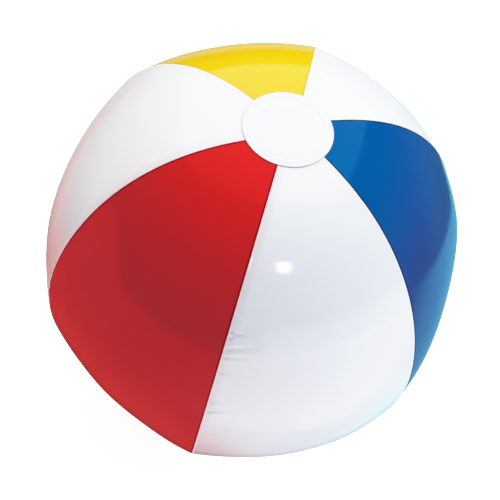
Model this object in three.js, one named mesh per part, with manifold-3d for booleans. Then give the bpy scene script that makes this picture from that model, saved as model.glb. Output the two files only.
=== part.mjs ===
// Inflatable beach ball: six welded film panels, a round cap at each pole, and a push-in inflation valve.
// Millimetres, +Z up along the pole axis. The origin is the middle of the flat foot that it stands on.
// The valve is in the middle of one white panel and points along +Y.

import Module from "manifold-3d";
import * as THREE from "three";
import { mergeVertices } from "three/addons/utils/BufferGeometryUtils.js";

const wasm = await Module();
wasm.setup();

const DEGREE = Math.PI / 180;

// ---------------------------------------------------------------- driving dimensions

// Inflated skin. A seam's distance from the axis falls as cos(latitude) to WIDTH_POWER, and its height
// rises as sin(latitude) to HEIGHT_POWER: both powers are 1 on an ellipse.
const SEAM_RADIUS = 168;
const HALF_HEIGHT = 162;
const WIDTH_POWER = 0.76;
const HEIGHT_POWER = 1.07;

// Cross-section between two seams: 1 is part of a circle, 0 is the flat side of a hexagon.
const EQUATOR_ROUNDNESS = 0.76;
const POLE_ROUNDNESS = 0.56;

// Six panels of equal width. Each seam is a little off its even place, as hand-fed welding leaves it.
const PANEL_ANGLE = 60 * DEGREE;
const HALF_PANEL_ANGLE = PANEL_ANGLE / 2;
const SEAM_DRIFT_DEGREES = [1.0, 1.4, -1.6, -0.9, 0.6, -0.5];

const FILM = 0.25; // film thickness
const GAP = 0.3; // between pieces that touch
const FIN_DEPTH = 4; // weld fin along each edge of a panel, inside the ball
const TIP_RADIUS = 16; // where a panel's tips end, under the caps

const CAP_RADIUS = 35.3;
const CAP_THICKNESS = 0.3;
const CAP_LIFT = 0.4; // cap's inner face above the panels
const FOOT_RADIUS = 20; // flat middle of each cap
const WELD_RING_RADIUS = 31;
const WELD_RING_WIDTH = 2;
const WELD_RING_HEIGHT = 0.3;

// Valve, measured from the crown of its panel: heights are positive outwards.
const PANEL_HOLE_RADIUS = 11;
const FLANGE_RADIUS = 16;
const FLANGE_THICKNESS = 0.6;
const WEB_THICKNESS = 0.8;
const WEB_BULGE = 1; // how far the web's wall stands off its straight line, at each end
const BORE_RADIUS = 3.2;
const STEM_RADIUS = 4.8;
const STEM_TOP = 1;
const STEM_BOTTOM = -12;
const LIP_RADIUS = 5.6;
const LIP_HEIGHT = 1;
const STOPPER_RADIUS = 6;
const STOPPER_THICKNESS = 1.5;
const PLUG_RADIUS = 2.95;
const PLUG_LENGTH = 5.5;
const HINGE_OFFSET = 8; // stopper's hinge line, from the bore's axis
const TETHER_WIDTH = 3.6;
const TETHER_THICKNESS = 0.7;
const TETHER_BEND_RADIUS = 0.9;
const TAB_WIDTH = 5;
const TAB_REACH = 4; // pull tab, beyond the stopper's rim
const TAB_THICKNESS = 1;
const EDGE_BEVEL = 0.3; // on the stem and the stopper
const FLAP_RADIUS = 4.2;
const FLAP_THICKNESS = 0.5;

// Fineness of the solids.
const ACROSS_STEPS = 8; // facets over a panel's width, between its fins
const LATITUDE_STEPS = 28;
const FACET_SAG = 0.35; // how far a panel's flat facets cut inside its true curve
const CAP_SEGMENTS = 36;
const VALVE_SEGMENTS = 32;

// ---------------------------------------------------------------- materials

function vinyl(colour, roughness) {
  return new THREE.MeshStandardMaterial({ color: colour, roughness, metalness: 0 });
}

const FILM_ROUGHNESS = 0.15;
const MOULDING_ROUGHNESS = 0.35;
const redFilm = vinyl(0xcf1f28, FILM_ROUGHNESS);
const whiteFilm = vinyl(0xf2f3f8, FILM_ROUGHNESS);
const blueFilm = vinyl(0x1457a8, FILM_ROUGHNESS);
const yellowFilm = vinyl(0xf9d31a, FILM_ROUGHNESS);
const clearMoulding = vinyl(0xe4e8ea, MOULDING_ROUGHNESS);

// ---------------------------------------------------------------- solids and joins

function mesh(name, geometry, material) {
  const piece = new THREE.Mesh(geometry, material);
  piece.name = name;
  return piece;
}

// A manifold solid from a closed geometry. Facets that shrink to a line on a lathe's axis are left out.
function solid(geometry) {
  const bare = geometry.clone();
  bare.deleteAttribute("normal");
  bare.deleteAttribute("uv");
  const merged = mergeVertices(bare);
  const corners = merged.index.array;
  const kept = [];
  for (let i = 0; i < corners.length; i += 3) {
    const [a, b, c] = corners.slice(i, i + 3);
    if (a !== b && b !== c && c !== a) {
      kept.push(a, b, c);
    }
  }
  const vertProperties = new Float32Array(merged.attributes.position.array);
  const triVerts = new Uint32Array(kept);
  return new wasm.Manifold(new wasm.Mesh({ numProp: 3, vertProperties, triVerts }));
}

function geometryOf(manifold) {
  const { vertProperties, triVerts } = manifold.getMesh();
  const geometry = new THREE.BufferGeometry();
  geometry.setAttribute("position", new THREE.BufferAttribute(vertProperties, 3));
  geometry.setIndex(new THREE.BufferAttribute(triVerts, 1));
  geometry.computeVertexNormals();
  return geometry;
}

// A solid turned about the Y axis from [radius, height] points.
function turned(points, segments) {
  const profile = points.map(([radius, height]) => new THREE.Vector2(radius, height));
  return new THREE.LatheGeometry(profile, segments);
}

function ring(points, segments) {
  return turned([...points, points[0]], segments);
}

// ---------------------------------------------------------------- shape of the inflated skin

function seamRadius(latitude) {
  return SEAM_RADIUS * Math.cos(latitude) ** WIDTH_POWER;
}

function skinHeight(latitude) {
  const sine = Math.sin(latitude);
  return HALF_HEIGHT * Math.sign(sine) * Math.abs(sine) ** HEIGHT_POWER;
}

function latitudeAtRadius(radius) {
  return Math.acos((radius / SEAM_RADIUS) ** (1 / WIDTH_POWER));
}

function latitudeAtHeight(height) {
  return Math.asin((Math.abs(height) / HALF_HEIGHT) ** (1 / HEIGHT_POWER));
}

// Distance from the axis. across runs from -1 at a panel's first seam to 1 at its second.
function skinRadius(latitude, across) {
  const fade = Math.sin(latitude) ** 2;
  const roundness = EQUATOR_ROUNDNESS + (POLE_ROUNDNESS - EQUATOR_ROUNDNESS) * fade;
  const side = (angle) => (1 - roundness) * Math.cos(angle) + roundness;
  return seamRadius(latitude) * side(HALF_PANEL_ANGLE) / side(across * HALF_PANEL_ANGLE);
}

// The skin's inward direction in the plane through the axis.
function inwardNormal(latitude, azimuth) {
  const step = 1e-4;
  const rise = skinHeight(latitude + step) - skinHeight(latitude - step);
  const run = seamRadius(latitude + step) - seamRadius(latitude - step);
  const outward = new THREE.Vector3(rise * Math.cos(azimuth), rise * Math.sin(azimuth), -run);
  return outward.normalize().negate();
}

function seamAzimuth(index) {
  const wrapped = index % SEAM_DRIFT_DEGREES.length;
  return PANEL_ANGLE * index + SEAM_DRIFT_DEGREES[wrapped] * DEGREE;
}

// ---------------------------------------------------------------- film panels

// A panel is a box of thin columns and rows, bent to the skin. The two columns at each edge stand on the
// weld fin, which turns inwards beside the seam, and the others spread over the panel.
const FIN_COLUMNS = 2;
const COLUMNS = ACROSS_STEPS + 2 * FIN_COLUMNS;
const TIP_LATITUDE = latitudeAtRadius(TIP_RADIUS);

function panelPoint(panelIndex, column, row, isInner) {
  const latitude = (2 * row / LATITUDE_STEPS - 1) * TIP_LATITUDE;
  const columnsFromEdge = Math.min(column, COLUMNS - column);
  const distanceFromSeam = GAP / 2 + FILM * Math.min(columnsFromEdge, FIN_COLUMNS);
  const seamAngle = Math.asin(distanceFromSeam / seamRadius(latitude));
  const start = seamAzimuth(panelIndex) + seamAngle;
  const end = seamAzimuth(panelIndex + 1) - seamAngle;
  const spread = THREE.MathUtils.clamp((column - FIN_COLUMNS) / ACROSS_STEPS, 0, 1);
  const azimuth = THREE.MathUtils.lerp(start, end, spread);

  const middle = (seamAzimuth(panelIndex) + seamAzimuth(panelIndex + 1)) / 2;
  const across = (azimuth - middle) / (seamAzimuth(panelIndex + 1) - middle);
  const radius = skinRadius(latitude, across);
  const point = new THREE.Vector3(
    radius * Math.cos(azimuth),
    radius * Math.sin(azimuth),
    skinHeight(latitude),
  );
  if (isInner) {
    const depth = columnsFromEdge < FIN_COLUMNS ? FIN_DEPTH : FILM;
    point.addScaledVector(inwardNormal(latitude, azimuth), depth);
  }
  return point;
}

function panelGeometry(panelIndex) {
  const geometry = new THREE.BoxGeometry(1, 1, 1, COLUMNS, LATITUDE_STEPS, 1);
  const place = geometry.attributes.position;
  for (let i = 0; i < place.count; i += 1) {
    const column = Math.round((place.getX(i) + 0.5) * COLUMNS);
    const row = Math.round((place.getY(i) + 0.5) * LATITUDE_STEPS);
    const point = panelPoint(panelIndex, column, row, place.getZ(i) < 0);
    place.setXYZ(i, point.x, point.y, point.z);
  }
  geometry.computeVertexNormals();
  return geometry;
}

function cutValveHole(geometry) {
  const cutter = new THREE.CylinderGeometry(
    PANEL_HOLE_RADIUS,
    PANEL_HOLE_RADIUS,
    HALF_HEIGHT,
    VALVE_SEGMENTS,
  );
  cutter.translate(0, HALF_HEIGHT, 0);
  return geometryOf(solid(geometry).subtract(solid(cutter)));
}

// Counted from the seam on +X, anticlockwise from above.
function makePanels() {
  return [
    mesh("blue_panel", panelGeometry(0), blueFilm),
    mesh("valve_panel", cutValveHole(panelGeometry(1)), whiteFilm),
    mesh("yellow_panel", panelGeometry(2), yellowFilm),
    mesh("left_white_panel", panelGeometry(3), whiteFilm),
    mesh("red_panel", panelGeometry(4), redFilm),
    mesh("front_white_panel", panelGeometry(5), whiteFilm),
  ];
}

// ---------------------------------------------------------------- polar caps

// Height of a cap's outer face above the ball's middle, at a distance from the axis.
function capHeight(radius) {
  return skinHeight(latitudeAtRadius(Math.max(radius, FOOT_RADIUS))) + CAP_LIFT + CAP_THICKNESS;
}

const CENTRE_HEIGHT = capHeight(0);

function capGeometry() {
  const ringInside = WELD_RING_RADIUS - WELD_RING_WIDTH / 2;
  const ringOutside = WELD_RING_RADIUS + WELD_RING_WIDTH / 2;
  const halfway = (FOOT_RADIUS + ringInside) / 2;
  const inner = [0, FOOT_RADIUS, halfway, ringOutside, CAP_RADIUS];
  const outer = [
    [CAP_RADIUS, capHeight(CAP_RADIUS)],
    [ringOutside, capHeight(ringOutside)],
    [WELD_RING_RADIUS, capHeight(WELD_RING_RADIUS) + WELD_RING_HEIGHT],
    [ringInside, capHeight(ringInside)],
    [halfway, capHeight(halfway)],
    [FOOT_RADIUS, capHeight(FOOT_RADIUS)],
    [0, capHeight(0)],
  ];
  const underside = inner.map((radius) => [radius, capHeight(radius) - CAP_THICKNESS]);
  return turned([...underside, ...outer], CAP_SEGMENTS);
}

function makeCaps() {
  const top = mesh("top_cap", capGeometry(), whiteFilm);
  const bottom = mesh("bottom_cap", capGeometry(), whiteFilm);
  top.rotation.x = 90 * DEGREE;
  bottom.rotation.x = -90 * DEGREE;
  return [top, bottom];
}

// ---------------------------------------------------------------- valve

const FLANGE_TOP = -FILM - GAP - FACET_SAG;

// How far the skin has fallen below its crown at the valve, sideways along X and along the axis by Z.
function skinFall(x, z) {
  const latitude = latitudeAtHeight(z);
  const azimuth = Math.asin(x / skinRadius(latitude, 0));
  const here = skinRadius(latitude, azimuth / HALF_PANEL_ANGLE) * Math.cos(azimuth);
  return skinRadius(0, 0) - here;
}

// A flat ring welded to the film's inner face, so it is pressed to the skin's curve.
function flangeGeometry() {
  const top = FLANGE_TOP;
  const inside = PANEL_HOLE_RADIUS;
  const middle = (PANEL_HOLE_RADIUS + FLANGE_RADIUS) / 2;
  const geometry = ring(
    [
      [inside, top - FLANGE_THICKNESS],
      [middle, top - FLANGE_THICKNESS],
      [FLANGE_RADIUS, top - FLANGE_THICKNESS],
      [FLANGE_RADIUS, top],
      [middle, top],
      [inside, top],
    ],
    VALVE_SEGMENTS,
  );
  const place = geometry.attributes.position;
  for (let i = 0; i < place.count; i += 1) {
    place.setY(i, place.getY(i) - skinFall(place.getX(i), place.getZ(i)));
  }
  geometry.computeVertexNormals();
  return geometry;
}

// The soft funnel between flange and stem, shown pushed in. It rolls over as the stem pops out.
function webGeometry() {
  const steps = 7;
  const half = WEB_THICKNESS / 2;
  const rim = new THREE.Vector2(PANEL_HOLE_RADIUS - GAP - half, FLANGE_TOP - half);
  const base = new THREE.Vector2(STEM_RADIUS + GAP + half, STEM_BOTTOM + 2 * half);
  const shoulder = new THREE.Vector2(rim.x - WEB_BULGE, base.y / 2);
  const waist = new THREE.Vector2(base.x + WEB_BULGE, base.y / 2);
  const middle = new THREE.CubicBezierCurve(rim, shoulder, waist, base);
  const inside = [];
  const outside = [];
  for (let i = 0; i <= steps; i += 1) {
    const point = middle.getPoint(i / steps);
    const tangent = middle.getTangent(i / steps);
    inside.push([point.x + tangent.y * half, point.y - tangent.x * half]);
    outside.push([point.x - tangent.y * half, point.y + tangent.x * half]);
  }
  return ring([...inside, ...outside.reverse()], VALVE_SEGMENTS);
}

function stemGeometry() {
  return ring(
    [
      [BORE_RADIUS, STEM_BOTTOM],
      [STEM_RADIUS, STEM_BOTTOM],
      [STEM_RADIUS, STEM_TOP - LIP_HEIGHT - EDGE_BEVEL],
      [LIP_RADIUS, STEM_TOP - LIP_HEIGHT],
      [LIP_RADIUS, STEM_TOP],
      [BORE_RADIUS + EDGE_BEVEL, STEM_TOP],
      [BORE_RADIUS, STEM_TOP - EDGE_BEVEL],
    ],
    VALVE_SEGMENTS,
  );
}

const STOPPER_BASE = STEM_TOP + GAP;
const STOPPER_TOP = STOPPER_BASE + STOPPER_THICKNESS;

// The plug narrows as an arc about the hinge line, so that its far side clears the bore as it swings.
function plugRadius(depth) {
  const clearance = 0.05;
  const reach = HINGE_OFFSET + BORE_RADIUS - clearance;
  return Math.min(PLUG_RADIUS, Math.sqrt(reach ** 2 - depth ** 2) - HINGE_OFFSET);
}

function stopperGeometry() {
  const plugSteps = 4;
  const nose = 0.4;
  const plug = [[0, STOPPER_BASE - PLUG_LENGTH]];
  plug.push([plugRadius(PLUG_LENGTH) - nose, STOPPER_BASE - PLUG_LENGTH]);
  for (let i = 0; i <= plugSteps; i += 1) {
    const depth = (PLUG_LENGTH - nose) * (1 - i / plugSteps);
    plug.push([plugRadius(depth), STOPPER_BASE - depth]);
  }
  const head = turned(
    [
      ...plug,
      [STOPPER_RADIUS, STOPPER_BASE],
      [STOPPER_RADIUS, STOPPER_TOP - EDGE_BEVEL],
      [STOPPER_RADIUS - EDGE_BEVEL, STOPPER_TOP],
      [0, STOPPER_TOP],
    ],
    VALVE_SEGMENTS,
  );
  return geometryOf(solid(head).add(solid(tabGeometry())));
}

// Pull tab: a tongue with a round end, on the side away from the hinge.
function tabGeometry() {
  const halfWidth = TAB_WIDTH / 2;
  const endCentre = -(STOPPER_RADIUS + TAB_REACH - halfWidth);
  const outline = new THREE.Shape();
  outline.moveTo(-halfWidth, 0);
  outline.lineTo(-halfWidth, endCentre);
  outline.absarc(0, endCentre, halfWidth, Math.PI, 2 * Math.PI, false);
  outline.lineTo(halfWidth, 0);
  outline.closePath();
  const tab = new THREE.ExtrudeGeometry(outline, {
    depth: TAB_THICKNESS,
    bevelEnabled: false,
    curveSegments: 8,
  });
  tab.rotateX(90 * DEGREE);
  const sunk = (STOPPER_THICKNESS - TAB_THICKNESS) / 2;
  tab.translate(0, STOPPER_TOP - sunk, 0);
  return tab;
}

// A narrow strap from the stem's lip to the stopper's rim, bent back on itself over the hinge line.
function tetherGeometry() {
  const half = TETHER_THICKNESS / 2;
  const bendHeight = STOPPER_BASE;
  const outerBend = TETHER_BEND_RADIUS + half;
  const innerBend = TETHER_BEND_RADIUS - half;
  const atLip = LIP_RADIUS + GAP;
  const atStopper = STOPPER_RADIUS + GAP;
  const outline = new THREE.Shape();
  outline.moveTo(atLip, bendHeight - outerBend);
  outline.lineTo(HINGE_OFFSET, bendHeight - outerBend);
  outline.absarc(HINGE_OFFSET, bendHeight, outerBend, -90 * DEGREE, 90 * DEGREE, false);
  outline.lineTo(atStopper, bendHeight + outerBend);
  outline.lineTo(atStopper, bendHeight + innerBend);
  outline.lineTo(HINGE_OFFSET, bendHeight + innerBend);
  outline.absarc(HINGE_OFFSET, bendHeight, innerBend, 90 * DEGREE, -90 * DEGREE, true);
  outline.lineTo(atLip, bendHeight - innerBend);
  outline.closePath();
  const strap = new THREE.ExtrudeGeometry(outline, {
    depth: TETHER_WIDTH,
    bevelEnabled: false,
    curveSegments: 6,
  });
  strap.rotateY(-90 * DEGREE);
  strap.translate(TETHER_WIDTH / 2, 0, 0);
  return strap;
}

function flapGeometry() {
  const top = STEM_BOTTOM - GAP;
  return turned(
    [
      [0, top - FLAP_THICKNESS],
      [FLAP_RADIUS, top - FLAP_THICKNESS],
      [FLAP_RADIUS, top],
      [0, top],
    ],
    VALVE_SEGMENTS,
  );
}

function makeValve() {
  const valve = new THREE.Group();
  valve.add(
    mesh("valve_flange", flangeGeometry(), clearMoulding),
    mesh("valve_web", webGeometry(), clearMoulding),
    mesh("valve_stem", stemGeometry(), clearMoulding),
    mesh("stopper", stopperGeometry(), clearMoulding),
    mesh("stopper_tether", tetherGeometry(), clearMoulding),
    mesh("check_flap", flapGeometry(), clearMoulding),
  );
  valve.position.y = skinRadius(0, 0);
  return valve;
}

// ---------------------------------------------------------------- assembly

const ball = new THREE.Group();
ball.position.z = CENTRE_HEIGHT;
ball.add(...makePanels(), ...makeCaps(), makeValve());

const group = new THREE.Group();
group.add(ball);

export default group;
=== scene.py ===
"""Inflatable beach ball: welded vinyl panels, polar caps and a push-in valve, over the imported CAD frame."""

import math

import bpy
import numpy as np
from mathutils import Matrix, Vector


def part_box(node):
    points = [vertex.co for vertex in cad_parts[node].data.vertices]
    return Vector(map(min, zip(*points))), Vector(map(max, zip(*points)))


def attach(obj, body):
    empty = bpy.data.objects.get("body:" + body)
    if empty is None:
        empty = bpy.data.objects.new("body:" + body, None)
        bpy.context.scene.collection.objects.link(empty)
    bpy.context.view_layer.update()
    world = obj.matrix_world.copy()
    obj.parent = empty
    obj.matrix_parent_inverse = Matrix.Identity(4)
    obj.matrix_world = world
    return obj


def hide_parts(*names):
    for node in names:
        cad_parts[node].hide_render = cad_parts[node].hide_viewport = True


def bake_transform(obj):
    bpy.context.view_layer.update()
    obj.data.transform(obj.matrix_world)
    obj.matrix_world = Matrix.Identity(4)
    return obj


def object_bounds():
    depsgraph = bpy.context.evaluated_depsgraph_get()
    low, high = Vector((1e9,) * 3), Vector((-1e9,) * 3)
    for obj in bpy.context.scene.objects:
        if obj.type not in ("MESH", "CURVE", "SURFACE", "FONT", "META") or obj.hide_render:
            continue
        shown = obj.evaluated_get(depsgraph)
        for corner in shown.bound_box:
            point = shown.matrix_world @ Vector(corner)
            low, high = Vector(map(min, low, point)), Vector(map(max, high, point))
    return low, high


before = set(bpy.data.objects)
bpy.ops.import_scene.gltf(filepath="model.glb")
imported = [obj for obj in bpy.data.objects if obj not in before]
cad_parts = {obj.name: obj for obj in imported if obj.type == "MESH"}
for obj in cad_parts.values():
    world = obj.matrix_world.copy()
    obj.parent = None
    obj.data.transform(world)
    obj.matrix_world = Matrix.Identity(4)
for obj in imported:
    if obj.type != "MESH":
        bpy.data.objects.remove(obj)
cad_low, cad_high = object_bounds()

# ---------------------------------------------------------------- dimensions, in millimetres

MM = 0.001


def cad_box(node):
    low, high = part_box(node)
    return np.array(low) / MM, np.array(high) / MM


CENTRE_HEIGHT = (cad_low.z + cad_high.z) / 2 / MM
CAP_LOW, CAP_HIGH = cad_box("top_cap")
CAP_RADIUS = (CAP_HIGH[0] - CAP_LOW[0]) / 2

# Shape of the inflated skin, as in the CAD model: see skin_radius and skin_height.
SEAM_RADIUS = 168
HALF_HEIGHT = 162
WIDTH_POWER = 0.76
HEIGHT_POWER = 1.07
EQUATOR_ROUNDNESS = 0.76
POLE_ROUNDNESS = 0.56
SEAM_DRIFT_DEGREES = [0.7, 1.4, -1.6, -0.6, 0.4, -0.25]  # how far each seam is from even spacing
PANEL_COUNT = 6
HALF_PANEL = math.radians(180 / PANEL_COUNT)

# The panels are welded by hand: towards the top cap the seams miss the ball's axis by these amounts,
# counter-clockwise seen from above. Farther from the axis than the reach they don't.
TOP_SEAM_MISS = [1.9, 2.2, -3.3, 0, 3.7, 0]
TOP_MISS_REACH = 138
TOP_MISS_POWER = 1.3

FILM = 0.25
SEAM_GAP = 0.03  # from the seam's middle plane to each panel's weld fin
FIN_DEPTH = 4
EDGE_ROUND = 0.3  # radius over which the film turns down into the seam
WHITE_BEAD = 0.18  # the white film laps over at a weld and stands proud by this much
COLOUR_BEAD = -0.12
BEAD_WIDTH = 0.9
TIP_RADIUS = 16
ROW_SPACING = 1.4
EDGE_TURN_STEPS = 6
EDGE_COLUMNS = [0.8, 1.1, 1.5, 2.0, 2.7, 3.6, 4.8, 6.4, 8.5, 11.5, 15.0]  # distances from the seam
EDGE_FULL_WIDTH = 24  # a panel half narrower than this has its edge columns drawn in
MIDDLE_COLUMNS = 22


# ---------------------------------------------------------------- shape of the skin


def seam_radius(latitude):
    return SEAM_RADIUS * np.cos(latitude) ** WIDTH_POWER


def seam_azimuth(index, latitude):
    plain = math.radians(360 / PANEL_COUNT * index + SEAM_DRIFT_DEGREES[index % PANEL_COUNT])
    radius = np.maximum(seam_radius(latitude), CAP_RADIUS)
    nearness = np.clip((TOP_MISS_REACH - radius) / (TOP_MISS_REACH - CAP_RADIUS), 0, 1)
    miss = TOP_SEAM_MISS[index % PANEL_COUNT] * nearness**TOP_MISS_POWER
    return plain + np.where(np.asarray(latitude) > 0, miss / radius, 0)


def panel_half_angle(panel, latitude):
    return (seam_azimuth(panel + 1, latitude) - seam_azimuth(panel, latitude)) / 2


def skin_height(latitude):
    sine = np.sin(latitude)
    return HALF_HEIGHT * np.sign(sine) * np.abs(sine) ** HEIGHT_POWER


def latitude_at_radius(radius):
    return np.arccos((radius / SEAM_RADIUS) ** (1 / WIDTH_POWER))


def skin_radius(latitude, across):
    """Distance from the axis. across runs from -1 at a panel's first seam to 1 at its second."""
    roundness = EQUATOR_ROUNDNESS + (POLE_ROUNDNESS - EQUATOR_ROUNDNESS) * np.sin(latitude) ** 2

    def side(angle):
        return (1 - roundness) * np.cos(angle) + roundness

    return seam_radius(latitude) * side(HALF_PANEL) / side(across * HALF_PANEL)


def skin_points(panel, latitude, across):
    azimuth = seam_azimuth(panel, latitude) + (1 + across) * panel_half_angle(panel, latitude)
    radius = skin_radius(latitude, across)
    height = skin_height(latitude) + CENTRE_HEIGHT
    return np.stack([radius * np.cos(azimuth), radius * np.sin(azimuth), height], -1)


def unit(vectors):
    return vectors / np.linalg.norm(vectors, axis=-1, keepdims=True)


def skin_normals(panel, latitude, across):
    step = 1e-4
    along = skin_points(panel, latitude + step, across) - skin_points(panel, latitude - step, across)
    sideways = skin_points(panel, latitude, across + step) - skin_points(panel, latitude, across - step)
    return unit(np.cross(sideways, along))


TIP_LATITUDE = float(latitude_at_radius(TIP_RADIUS))
TABLE_STEPS = 4001


def arc_table():
    """Latitudes and the arc length from the equator to each, over the middle of a panel."""
    latitudes = np.linspace(-TIP_LATITUDE, TIP_LATITUDE, TABLE_STEPS)
    radius = skin_radius(latitudes, 0)
    height = skin_height(latitudes)
    arc = np.concatenate([[0], np.cumsum(np.hypot(np.diff(radius), np.diff(height)))])
    return latitudes, arc - arc[-1] / 2


TABLE_LATITUDES, TABLE_ARCS = arc_table()


def arc_of(latitude):
    return np.interp(latitude, TABLE_LATITUDES, TABLE_ARCS)


def latitude_of(arc):
    return np.interp(arc, TABLE_ARCS, TABLE_LATITUDES)


def smooth(value):
    clamped = np.clip(value, 0, 1)
    return clamped * clamped * (3 - 2 * clamped)


def ridge(place, centre, height, width):
    """Height at a place across a smooth ridge, or across a valley where height is negative."""
    return height * np.exp(-(((place - centre) / width) ** 2))


# ---------------------------------------------------------------- puckers in the film

PUCKER_SEED = 7
PUCKER_SPACING = (5, 13)
PUCKER_DEPTH = (0.03, 0.16)
PUCKER_WIDTH = (1.6, 3.4)
PUCKER_LENGTH = (4, 15)
PUCKER_SLANT = 0.5
BELT_LATITUDE = math.radians(58)  # puckers fade out towards here, where the seams slacken
WELD_HOLDS = 2.5  # how far from the seam the stiff weld still flattens a pucker
KEPT_AT_WELD = 0.35  # the share of its depth that a pucker keeps at the weld itself

# Deeper creases, as (latitude in degrees, depth, width, length, slant), beside the seam between the
# red panel and the front white one, and the buckle where the red panel's other seam meets the equator.
FRONT_CREASES = [
    (35.5, 1.05, 1.8, 9, -0.2),
    (33.0, 0.85, 1.5, 13, 0.6),
    (29.5, 0.75, 2.2, 17, 0.25),
    (27.2, 0.50, 1.6, 11, 0.1),
    (21.8, 0.60, 1.6, 10, 0.1),
    (9.5, 0.65, 1.7, 12, 0.3),
    (5.0, 0.85, 1.7, 15, 0.35),
    (-4.0, 0.50, 1.7, 10, 0.2),
    (-10.5, 0.75, 1.9, 13, 0.3),
    (-17.0, 0.65, 1.8, 14, 0.3),
    (-24.0, 0.65, 2.0, 16, 0.2),
]
SIDE_BUCKLES = [(-2.5, 1.1, 3.2, 16, 0.1), (3.5, 0.4, 2.2, 10, -0.2), (-9.0, 0.4, 2.4, 11, 0.2)]
EXTRA_PUCKERS = {
    ("front_white_panel", 0): FRONT_CREASES,
    ("left_white_panel", 1): SIDE_BUCKLES,
    ("red_panel", 0): SIDE_BUCKLES,
}


def pucker(arc, distance, centre, depth, width, length, slant):
    """One shallow valley that starts at the seam and runs into the panel, with a low swell on each side."""
    across = (arc - centre - slant * distance) / width
    valley = (1 - across**2) * np.exp(-(across**2) / 2)
    held_flat = KEPT_AT_WELD + (1 - KEPT_AT_WELD) * smooth(distance / WELD_HOLDS)
    return -depth * valley * held_flat * np.exp(-((distance / length) ** 2))


def random_puckers(generator):
    found = []
    arc = TABLE_ARCS[0]
    while arc < TABLE_ARCS[-1]:
        arc += generator.uniform(*PUCKER_SPACING)
        belt = smooth(1 - abs(latitude_of(arc)) / BELT_LATITUDE)
        depth = generator.uniform(*PUCKER_DEPTH) * belt
        width = generator.uniform(*PUCKER_WIDTH)
        length = generator.uniform(*PUCKER_LENGTH)
        slant = generator.uniform(-PUCKER_SLANT, PUCKER_SLANT)
        found.append((arc, depth, width, length, slant))
    return found


def pucker_height(name, side, arc, distance, generator):
    puckers = random_puckers(generator)
    for latitude, *shape in EXTRA_PUCKERS.get((name, side), []):
        puckers.append((float(arc_of(math.radians(latitude))), *shape))
    return sum(pucker(arc, distance, *shape) for shape in puckers)


# ---------------------------------------------------------------- meshes


def add_piece(name, points, faces, material, body=None, replaces=()):
    """A mesh object from points in millimetres. It rides on body, if one is given."""
    mesh = bpy.data.meshes.new(name)
    mesh.from_pydata((np.asarray(points) * MM).tolist(), [], [tuple(map(int, face)) for face in faces])
    mesh.validate()
    mesh.shade_smooth()
    mesh.set_sharp_from_angle(angle=math.radians(50))
    piece = bpy.data.objects.new(name, mesh)
    bpy.context.scene.collection.objects.link(piece)
    mesh.materials.append(material)
    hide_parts(*replaces)
    if body:
        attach(piece, body)
    return piece


def grid_faces(rows, columns, offset=0, flip=False):
    """Quads of a grid of rows by columns points, counted row by row from offset."""
    row, column = np.mgrid[0 : rows - 1, 0 : columns - 1]
    corner = (offset + row * columns + column).ravel()
    quads = np.stack([corner, corner + 1, corner + columns + 1, corner + columns], -1)
    return quads[:, ::-1] if flip else quads


def bridge_faces(first, second):
    """Quads between two rows of point numbers of equal length."""
    return np.stack([first[:-1], second[:-1], second[1:], first[1:]], -1)


# ---------------------------------------------------------------- film panels

PANELS = ["blue_panel", "valve_panel", "yellow_panel", "left_white_panel", "red_panel", "front_white_panel"]
VALVE_PANEL = "valve_panel"
HOLE_RADIUS = 11
FLANGE_WELD_RADIUS = 16
HOLE_COLUMN_SPACING = 2.0
HOLE_BLOCK = 5  # half the columns in the square of cells that the valve's hole takes out
HOLE_BLEND = 3  # the grid is its old self again at this many times the square's size
HOLE_COLUMNS = 12  # evenly spaced columns on each side of the hole's middle
OUTER_COLUMNS = 10  # columns from there to the panel's edge columns
FLANGE_RISE = 0.18
FLANGE_RISE_WIDTH = 1.2
GROOVE_DEPTH = 0.14
GROOVE_WIDTH = 0.8


def edge_profile(bead):
    """Distance from the seam and depth below the skin, of a panel's outer and inner faces, from the
    bottom of the weld fin up over the rounded edge, which stands proud by bead."""
    turn = np.linspace(0, math.pi / 2, EDGE_TURN_STEPS + 1)
    fin_depths = [FIN_DEPTH, (FIN_DEPTH + EDGE_ROUND) / 2]
    outer = [(SEAM_GAP, depth) for depth in fin_depths]
    inner = [(SEAM_GAP + FILM, depth) for depth in fin_depths]
    centre = SEAM_GAP + EDGE_ROUND
    for angle in turn:
        for faces, radius in ((outer, EDGE_ROUND), (inner, EDGE_ROUND - FILM)):
            depth = EDGE_ROUND - radius * math.sin(angle) - bead
            faces.append((centre - radius * math.cos(angle), depth))
    for distance in EDGE_COLUMNS:
        rise = ridge(distance, centre, bead, BEAD_WIDTH)
        outer.append((distance, -rise))
        inner.append((distance, FILM - rise))
    return np.array(outer), np.array(inner)


def column_places(profile, half_width, middle):
    """Signed distance from the panel's middle line and depth, for each column of one row."""
    taper = min(1, half_width / EDGE_FULL_WIDTH)
    rounded = EDGE_TURN_STEPS + 3
    distance = profile[:, 0].copy()
    distance[rounded:] = distance[rounded - 1] + (distance[rounded:] - distance[rounded - 1]) * taper
    first = distance - half_width
    reach = half_width - distance[-1]
    places = np.concatenate([first, middle * reach, -first[::-1]])
    edge_depth = profile[:, 1]
    depths = np.concatenate([edge_depth, np.full(len(middle), edge_depth[-1]), edge_depth[::-1]])
    return places, depths


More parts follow.
